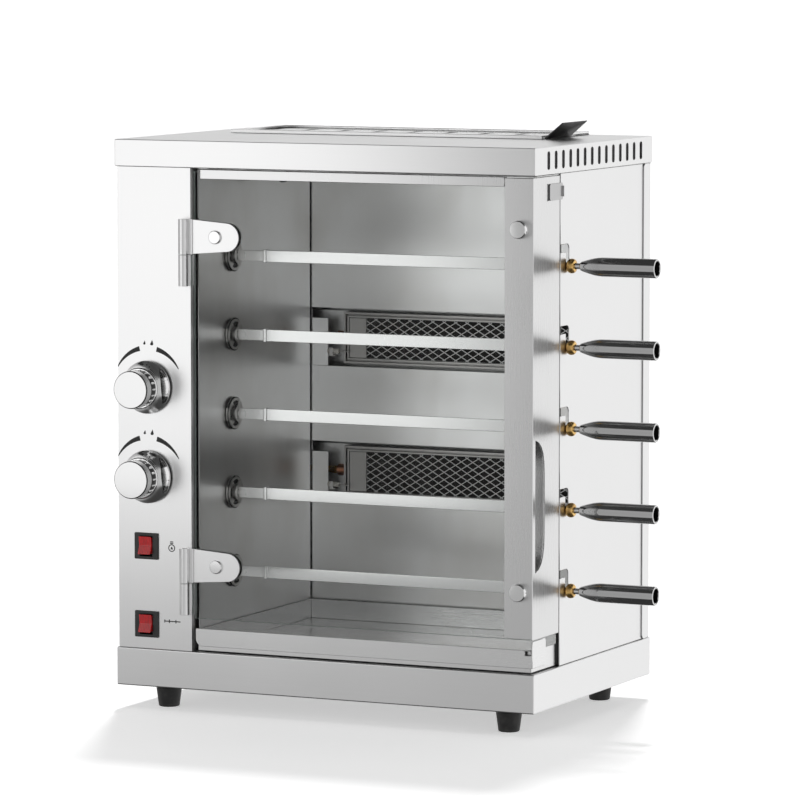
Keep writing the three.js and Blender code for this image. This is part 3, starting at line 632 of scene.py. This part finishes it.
def spit(k):
    """A flat bar with a square drive tip, a collar and a turned tubular handle."""
    node = f"spit_{k}"
    low, high = corners(node)
    y, z = middle(f"spit_bush_{k}").yz
    root = corners(f"drive_gear_{k}")[1].x + 0.5

    def bar(start, end, half_thick, half_high, edge):
        near = (start, y - half_thick, z - half_high)
        return rounded(box(near, (end, y + half_thick, z + half_high)), edge)

    steel = [
        bar(low.x, 141, 3.5, 3.5, 0.5),
        bar(root, 171, 2.5, 7.2, 0.5),
        bar(168, 173, 4.5, 9, 0.8),
        bar(172, 600, 2.5, 8, 0.7),
        rod("x", 7, 588, 598, (0, y, z), 32, 1.0),
        rod("x", 4, 597, 640, (0, y, z), 24),
    ]
    start, radius, bore, throat = (HANDLE[size] for size in ("start", "radius", "bore", "throat"))
    end, shoulder = high.x, start + 2
    neck = [[0, start], [5.2, start], [6.0, start + 0.6], [throat, shoulder]]
    swell = []
    for turn in range(15, 91, 15):
        grown = throat + (radius - throat) * math.sin(math.radians(turn))
        swell.append([grown, shoulder + HANDLE["swell"] * turn / 90])
    rim = [[radius, end - 1.2], [radius - 0.4, end - 0.3], [radius - 1.2, end]]
    rim += [[bore + 0.8, end], [bore, end - 0.8]]
    handle = painted(lathe("x", neck + swell + rim, (0, y, z), 64), 1)
    floor = end - HANDLE["depth"]
    # the bore is painted near-black: painted shade inside the handle's hollow
    inside = painted(lathe("x", [[bore, end - 0.8], [bore, floor], [0, floor]], (0, y, z), 48), 2)
    finishes = ["spit_steel", "shaded_handle_chrome", "black_recess"]
    piece(f"spit_bar_{k}", gather(*steel, handle, inside), finishes, node, node, "bright_chrome")


def spit_bush(k):
    """A brass ball bush on its neck."""
    node = f"spit_bush_{k}"
    low, high = corners(node)
    centre = (0, *middle(node).yz)
    bore, neck, ball, start = 4.5, 4.7, 9.8, 617.5
    half = (high.x - start) / 2
    turns = [math.radians(t) for t in range(15, 180, 15)]
    grow = ball - bore
    swell = [[bore + grow * math.sin(t) ** 0.7, start + half - half * math.cos(t)] for t in turns]
    profile = [[bore, low.x], [neck, low.x], [neck, start], *swell, [bore, high.x], [bore, low.x]]
    ball_bush = lathe("x", profile, centre, 40)
    piece(f"brass_bush_{k}", ball_bush, "turned_brass", f"bush_{k}", node, "turned_brass")


def drive_cup(k):
    """The cup's face: a ring, four spokes and a hub over a thin black disc, painted shade for the pockets.
    """
    y, z = middle(f"spit_bush_{k}").yz
    end = corners(f"drive_gear_{k}")[1].x
    face, centre = 123.0, (0, y, z)

    def ring(inner, outer, start, stop):
        outline = [[inner, start], [outer, start], [outer, stop], [inner, stop], [inner, start]]
        return lathe("x", outline, centre, 48)

    spokes = []
    for turn in range(45, 405, 90):
        spoke = box((face, 9.5, -4.5), (face + 1.6, 18.5, 4.5))
        matrix = Matrix.Rotation(math.radians(turn), 3, "X")
        bmesh.ops.rotate(spoke, cent=(0, 0, 0), matrix=matrix, verts=spoke.verts)
        bmesh.ops.translate(spoke, vec=centre, verts=spoke.verts)
        spokes.append(spoke)
    # the black disc is painted shade standing for the pockets between the spokes
    floor = painted(ring(9.2, 22.4, face + 0.05, face + 0.4), 1)
    shape = gather(ring(17.5, 21, face, face + 1.7), *spokes, floor, ring(9.05, 11, face, end))
    piece(f"drive_cup_{k}", shape, ["zinc_steel", "black_recess"], f"drive_{k}", (), "machine_steel")


for number in range(1, 6):
    spit(number)
    spit_bush(number)
    drive_cup(number)

# ---------------------------------------------------------------- knobs

INK = 0.08  # thickness of a printed mark


def knob(place):
    """A chrome knob: a flat cap, a scalloped grip ring of chrome beads on a black core, and a flared skirt.
    The black core and the cap's black rim are painted shade.
    """
    node = f"knob_{place}"
    x, z = middle(node).xz
    front, centre = corners(node)[0].y, (x, 0, z)
    cap_radius, grip_radius = 25.5, 24.2
    cap = [
        [0, front],
        [cap_radius - 1.6, front],
        [cap_radius - 0.9, front + 0.2],
        [cap_radius - 0.2, front + 0.9],
        [cap_radius, front + 1.8],
        [cap_radius, front + 13],
        [cap_radius - 0.8, front + 13.8],
        [0, front + 13.8],
    ]
    flare = [
        [0, -26],
        [26, -26],
        [27.4, -25.4],
        [28.2, -24],
        [28.6, -20],
        [29.2, -17],
        [31, -12],
        [33.6, -7.5],
        [35.6, -4.6],
        [36, -3.4],
        [35.6, -2],
        [34.6, -1.5],
        [0, -1.5],
    ]
    # the grip's black core is painted shade in the gaps between the chrome beads
    grip = [[0, front + 13], [grip_radius, front + 13], [grip_radius, -25.5], [0, -25.5]]
    grip = lathe("y", grip, centre, 48)
    count = 18
    beads = []
    for n in range(count):
        turn = 2 * math.pi * n / count
        at = (x + grip_radius * math.cos(turn), 0, z + grip_radius * math.sin(turn))
        beads.append(rod("y", 1.5, front + 17, -26, at, 8, 0.4))
    top = painted(lathe("y", cap, centre, 96), 2)
    # the cap's rounded front rim is painted black: a painted shade line round its edge
    for face in top.faces:
        at = face.calc_center_median()
        if at.y < front + 1.8 and math.hypot(at.x - x, at.z - z) > cap_radius - 1.2:
            face.material_index = 1
    shape = gather(top, painted(grip, 1), lathe("y", flare, centre, 96), *beads)
    finishes = ["bright_chrome", "black_recess", "satin_cap"]
    piece(f"{node}_turned", shape, finishes, node, node, "bright_chrome")


def dial_print(place):
    """The printed scale round a knob: two tapering arcs, and a small and a large flame between them."""
    x, z = middle(f"knob_{place}").xz
    face = corners("control_panel")[0].y
    radius, count = 53, 14
    marks = []
    for first, last in ((151, 104), (29, 76)):
        outer, inner = [], []
        for n in range(count + 1):
            turn = math.radians(first + (last - first) * n / count)
            across, up = math.cos(turn), math.sin(turn)
            half = 0.5 + 2.9 * (n / count) ** 0.8
            outer.append((x + (radius + half) * across, z + (radius + half) * up))
            inner.append((x + (radius - half) * across, z + (radius - half) * up))
        marks.append(slab("y", outer + inner[::-1], face - INK, face))
    for side, size in ((-1, 2.0), (1, 2.7)):
        centre = (x + side * 5.6, z + 59)
        drop = arc(centre, size, 200, 340, 6) + [(centre[0] + 0.3 * size, centre[1] + 1.9 * size)]
        marks.append(slab("y", drop, face - INK, face))
    settings = {"slot": "black_plastic", "crisp": False}
    piece(f"dial_print_{place}", gather(*marks), "printed_ink", "cabinet", **settings)


for place in ("upper", "lower"):
    knob(place)
    dial_print(place)

# ---------------------------------------------------------------- switches


def switch(job):
    """A rocker switch: a rounded bezel, and a red rocker."""
    housing, lens = f"switch_housing_{job}", f"rocker_{job}"
    shell = copy_of(housing)
    shell = rounded(rounded(shell, 1.4, 3, outer_edges(shell)), 0.35)
    piece(housing + "_shell", shell, "black_plastic", "cabinet", housing, "black_plastic")
    body = rounded(copy_of(lens), 0.7, 3)
    piece(lens + "_lens", body, "red_lens", lens, lens, "red_lens")


def switch_symbols():
    """A lamp and a spit drawn beside the two switches."""
    face, line = corners("control_panel")[0].y, 0.7

    def stroke(start, end):
        (x0, z0), (x1, z1) = start, end
        bar = box((0, face - INK, -line), (math.hypot(x1 - x0, z1 - z0), face, line))
        turn = Matrix.Rotation(-math.atan2(z1 - z0, x1 - x0), 3, "Y")
        bmesh.ops.rotate(bar, cent=(0, 0, 0), matrix=turn, verts=bar.verts)
        bmesh.ops.translate(bar, vec=(x0, 0, z0), verts=bar.verts)
        return bar

    x, z = 84, 191
    inner, outer = 3.9, 5.2
    ring = [[inner, face - INK], [outer, face - INK], [outer, face], [inner, face], [inner, face - INK]]
    lamp = [lathe("y", ring, (x, 0, z), 24)]
    for up in (6.4, 8.4):
        lamp.append(stroke((x - 2.4, z + up), (x + 2.4, z + up)))
    lamp.append(stroke((x - 1.2, z - 2), (x, z + 1.4)))
    lamp.append(stroke((x, z + 1.4), (x + 1.2, z - 2)))

    z = 91
    spit_marks = [stroke((73, z), (97, z))]
    for x, half in ((73, 2.0), (80, 2.4), (90, 2.4)):
        spit_marks.append(stroke((x, z - half), (x, z + half)))
    marks = gather(*lamp, *spit_marks)
    piece("switch_symbols", marks, "printed_ink", "cabinet", slot="black_plastic", crisp=False)


for job in ("lamp", "motor"):
    switch(job)
switch_symbols()

# ---------------------------------------------------------------- door


def door_pane():
    """The glass, with ground edges."""
    low, high = corners("door_glass")
    pane = rounded(box(low, high), 0.8, 2)
    for face in pane.faces:
        face.material_index = 0 if abs(face.normal.y) > 0.9 else 1
    piece("door_pane", pane, ["clear_glass", "glass_edge"], "door", "door_glass", "clear_glass")


def bolt_head(x, z, face, radius, height):
    """A low head with a rounded rim, against a face that looks to the front."""
    flat, side = radius * 0.86, height * 0.4
    turns = [math.radians(t) for t in range(0, 91, 15)]
    rim = [
        [flat + (radius - flat) * math.sin(t), face - side - (height - side) * math.cos(t)] for t in turns
    ]
    return lathe("y", [[0, face - height], *rim, [radius, face], [0, face]], (x, 0, z), 48)


CLAMP_BOLT = {"inset": 35, "face": 0.8, "radius": 9.2, "height": 3.2}
PANE_BOLT = {"inset": 23.4, "heights": (636, 160.4), "radius": 12.2, "height": 12.0}


def door_bolts():
    """The bolts through the clamp plates, and the two that hold the pane to the stile."""
    heads = []
    for place in ("upper", "lower"):
        low, high = corners(f"door_hinge_leaf_{place}")
        x, z = high.x - CLAMP_BOLT["inset"], (low.z + high.z) / 2
        heads.append(bolt_head(x, z, CLAMP_BOLT["face"], CLAMP_BOLT["radius"], CLAMP_BOLT["height"]))
    stile = corners("door_stile")[0]
    for z in PANE_BOLT["heights"]:
        x = stile.x + PANE_BOLT["inset"]
        heads.append(bolt_head(x, z, stile.y, PANE_BOLT["radius"], PANE_BOLT["height"]))
    piece("door_bolts", gather(*heads), "bolt_steel", "door", (), "bright_chrome")


def latch_slot_shade():
    """A black strip beside the catch, on the door's folded side: painted shade for the shadowed slot there.
    """
    low, high = corners("door_catch")
    near, far = low.x - 0.25, low.x + 0.3
    strip = box((near, low.y - 4.5, low.z + 0.5), (far, low.y - 0.2, high.z - 0.5))
    piece("latch_slot_shade", strip, "black_plastic", "door", (), "black_plastic")


latch_slot_shade()
door_pane()
door_bolts()

# ---------------------------------------------------------------- burners


def strut(start, end, y, width, thick):
    """A straight strand in an upright plane, between two points given as (x, z)."""
    (x0, z0), (x1, z1) = start, end
    strand = box((0, y, -width / 2), (math.hypot(x1 - x0, z1 - z0), y + thick, width / 2))
    turn = Matrix.Rotation(-math.atan2(z1 - z0, x1 - x0), 3, "Y")
    bmesh.ops.rotate(strand, cent=(0, 0, 0), matrix=turn, verts=strand.verts)
    bmesh.ops.translate(strand, vec=(x0, 0, z0), verts=strand.verts)
    return strand


def expanded_mesh(left, right, low, high, y, pitch=17.5, slope=0.6, width=1.0, thick=0.9):
    """Diamond mesh: strands that lean both ways, each cut off at the mesh's outline."""
    strands = []
    run = (high - low) / slope
    for n in range(1, int((right - left + run) / pitch) + 1):
        foot_x = left - run + n * pitch
        start = max(foot_x, left)
        end = min(foot_x + run, right)
        if end - start < pitch / 4:
            continue
        rise, fall = slope * (start - foot_x), slope * (end - foot_x)
        strands.append(strut((start, low + rise), (end, low + fall), y, width, thick))
        strands.append(strut((start, high - rise), (end, high - fall), y, width, thick))
    return strands


def ring_frame(left, right, low, high, front, back, width):
    """A rectangular frame of four bars that looks to the front."""
    return [
        box((left, front, low), (right, back, low + width)),
        box((left, front, high - width), (right, back, high)),
        box((left, front, low + width), (left + width, back, high - width)),
        box((right - width, front, low + width), (right, back, high - width)),
    ]


BURNER = {"left": 172.0, "blank": 34, "rim": 10, "step": 5, "feed_y": 368, "flange": (378, 380)}


def burner(place):
    """An infrared burner: a steel box, tiles behind diamond mesh, its mixing tube, jet and igniter."""
    node = f"burner_{place}"
    low, high = corners(node)
    guard_low, guard_high = corners(f"burner_guard_{place}")
    left, step, z = BURNER["left"], BURNER["step"], (low.z + high.z) / 2
    right, front = high.x, low.y
    blank, rim_back = left + BURNER["blank"], front + BURNER["rim"]
    flange_front, flange_back = BURNER["flange"]
    shell = rounded(box((left, front + 9, low.z), (right, high.y, high.z)), 1.2)
    rims = ring_frame(left, right, low.z, high.z, front, rim_back, 3.0)
    inner = (left + step, right - step, low.z + step, high.z - step)
    rims += ring_frame(*inner, front + 1, rim_back, 2.6)
    flange = rounded(box((low.x, flange_front, low.z), (left + 1, flange_back, high.z)), 0.4)
    casing = gather(shell, painted(flange, 1), *[rounded(r, 0.4) for r in rims])
    finishes = ["burner_steel", "lit_flange_steel"]
    piece(f"burner_box_{place}", casing, finishes, "cabinet", node, "burner_steel")
    tile = box((blank, front + 5, guard_low.z), (guard_high.x, front + 9.2, guard_high.z))
    piece(f"burner_tiles_{place}", tile, "burner_tile", "cabinet", (), "burner_steel")
    cover = rounded(box((guard_low.x, front + 1.6, guard_low.z), (blank, front + 3.2, guard_high.z)), 0.4)
    strands = expanded_mesh(blank, guard_high.x, guard_low.z, guard_high.z, front + 2)
    mesh = gather(painted(cover, 0), *[painted(strand, 1) for strand in strands])
    finishes, guard = ["burner_steel", "mesh_steel"], f"burner_guard_{place}"
    piece(f"burner_mesh_{place}", mesh, finishes, "cabinet", guard, "burner_steel")
    axis = (0, BURNER["feed_y"], z)
    tube = [[0, left - 16], [7, left - 16], [8, left - 15], [8, left - 4]]
    tube += [[9.5, left + 0.5], [0, left + 0.5]]
    jet = [[0, left - 26], [4.5, left - 26], [6, left - 22], [6, left - 17]]
    jet += [[4, left - 16], [0, left - 16]]
    feed = gather(painted(lathe("x", tube, axis, 32), 0), painted(lathe("x", jet, axis, 6), 1))
    finishes = ["copper_pipe", "turned_brass"]
    piece(f"burner_jet_{place}", feed, finishes, "cabinet", (), "turned_brass")
    igniter(place, left, front, z)


def igniter(place, left, front, middle):
    """A white igniter with its wire and the clip that holds it, beside a burner's jet."""
    at = (0, front - 5, middle - 19)
    parts = [
        painted(rod("x", 3.6, left - 22, left - 4, at, 20, 0.6), 0),
        painted(rod("x", 0.9, left - 5, left + 10, at, 10), 1),
    ]
    clips = [
        ((left - 20, front - 8, middle - 26), (left - 10, front + 2.5, middle - 24), 0.4),
        ((left - 18, front - 9.6, middle - 25), (left - 12, front - 8.8, middle - 14), 0.3),
    ]
    parts += [painted(rounded(box(low, high), edge), 1) for low, high, edge in clips]
    finishes = ["white_ceramic", "zinc_steel"]
    piece(f"igniter_{place}", gather(*parts), finishes, "cabinet", (), "burner_steel")


def jet_plate(place):
    """The short plate that closes the wall's opening beside a burner's jet."""
    low, high = corners(f"burner_{place}")
    z, wall = (low.z + high.z) / 2, corners("rear_inner_wall")[0].y
    left, right = low.x - 0.1, 146
    plate = rounded(box((left, wall + 0.2, z - 40.6), (right, wall + 1.4, z + 26)), 0.3)
    piece(f"jet_plate_{place}", plate, "liner_steel", "cabinet", (), "liner_steel")


for place in ("upper", "lower"):
    burner(place)
    jet_plate(place)

# ---------------------------------------------------------------- lamp and feet


def oven_lamp():
    """A glass bulb in a steel collar under the ceiling."""
    low, high = corners("oven_lamp")
    centre = (*middle("oven_lamp").xy, 0)
    radius, depth = 11, 13
    turns = [math.radians(t) for t in range(90, -1, -10)]
    dome = [[radius * math.cos(t), low.z + depth - depth * math.sin(t)] for t in turns]
    bulb = lathe("z", dome + [[radius, high.z - 10], [0, high.z - 10]], centre, 40)
    inner, outer, bottom = 9, 16, high.z - 12
    collar = [[inner, bottom], [outer - 1, bottom], [outer, bottom + 1]]
    collar += [[outer, high.z], [inner, high.z], [inner, bottom]]
    shape = gather(painted(bulb, 0), painted(lathe("z", collar, centre, 40), 1))
    piece("lamp_bulb", shape, ["lamp_glass", "bolt_steel"], "cabinet", "oven_lamp", "clear_glass")


def foot(node):
    """A tapered rubber foot with a flange and a hollow under it."""
    low, high = corners(node)
    centre = (*middle(node).xy, 0)
    top = (high.x - low.x) / 2
    profile = [
        [0, low.z + 3],
        [7, low.z + 3],
        [8, low.z],
        [top - 6, low.z],
        [top - 4.8, low.z + 0.5],
        [top - 4.2, low.z + 1.6],
        [top - 1, high.z - 6],
        [top - 0.3, high.z - 5.4],
        [top, high.z - 4.6],
        [top, high.z],
        [0, high.z],
    ]
    piece(node + "_moulding", lathe("z", profile, centre, 48), "foot_rubber", "cabinet", node, "foot_rubber")


oven_lamp()
for across in ("left", "right"):
    foot(f"foot_front_{across}")
    foot(f"foot_rear_{across}")

# ---------------------------------------------------------------- stage, camera and light


def stage():
    floor = bmesh.new()
    bmesh.ops.create_grid(floor, x_segments=1, y_segments=1, size=90.0)
    mesh = bpy.data.meshes.new("floor")
    floor.to_mesh(mesh)
    floor.free()
    mesh.materials.append(FINISH["pale_floor"])
    made = bpy.data.objects.new("floor", mesh)
    made.visible_glossy = False
    scene.collection.objects.link(made)


def camera():
    lens = bpy.data.cameras.new("camera")
    lens.lens = 232.83
    lens.sensor_width = 36.0
    lens.clip_end = 300.0  # past the floor's far edge
    holder = bpy.data.objects.new("camera", lens)
    yaw, pitch = math.radians(25.375), math.radians(5.517)
    holder.location = (2.9629, -6.3146, 1.0940)
    holder.rotation_euler = Euler((math.pi / 2 - pitch, 0, yaw))
    scene.collection.objects.link(holder)
    scene.camera = holder


def softbox(name, place, aim, size, power, glossy=True):
    """A rectangular light at a place, turned to look at an aim."""
    light = bpy.data.lights.new(name, "AREA")
    light.shape = "RECTANGLE"
    light.size, light.size_y = size
    light.energy = power
    holder = bpy.data.objects.new(name, light)
    holder.location = place
    holder.rotation_euler = (Vector(aim) - Vector(place)).to_track_quat("-Z", "Y").to_euler()
    holder.visible_glossy = glossy
    scene.collection.objects.link(holder)


def sun(way, strength, spread):
    """An even light from behind, that lays the oven's shadow on the floor in front of it."""
    light = bpy.data.lights.new("sun", "SUN")
    light.energy = strength
    light.angle = math.radians(spread)
    holder = bpy.data.objects.new("sun", light)
    holder.rotation_euler = Vector(way).to_track_quat("Z", "Y").to_euler()
    holder.visible_glossy = False
    scene.collection.objects.link(holder)


def surroundings():
    """White walls round the stage, a dark ceiling and ground for the chrome, and white behind everything."""
    world = bpy.data.worlds.new("studio")
    scene.world = world
    world.use_nodes = True
    tree = world.node_tree
    way = add_node(tree, "TexCoord", output="Generated")
    x, y, z = [add_node(tree, "SeparateXYZ", inputs={0: way}, output=k) for k in range(3)]
    wall = 0.72 + 0.17 * x + 0.25 * y
    walls = 1.0 - abs(z).rise(0.5, 0.57)
    shade = 0.05 + wall * walls
    seen = add_node(tree, "LightPath", output="Is Camera Ray")
    level = shade + seen * (1.0 - shade)
    background = tree.nodes["Background"]
    background.inputs["Color"].default_value = (1.0, 1.0, 1.0, 1.0)
    tree.links.new(level.socket, background.inputs["Strength"])


stage()
camera()
surroundings()
softbox("front_card", (-1.0, -1.45, 0.7), (-1.0, 0.0, 0.7), (1.0, 1.3), 3.5)
softbox("top_fill", (0.0, -0.4, 2.6), (0.0, 0.0, 0.0), (2.6, 2.2), 10.0, glossy=False)
sun((-0.153, 0.425, 0.774), 1.6, 7.0)
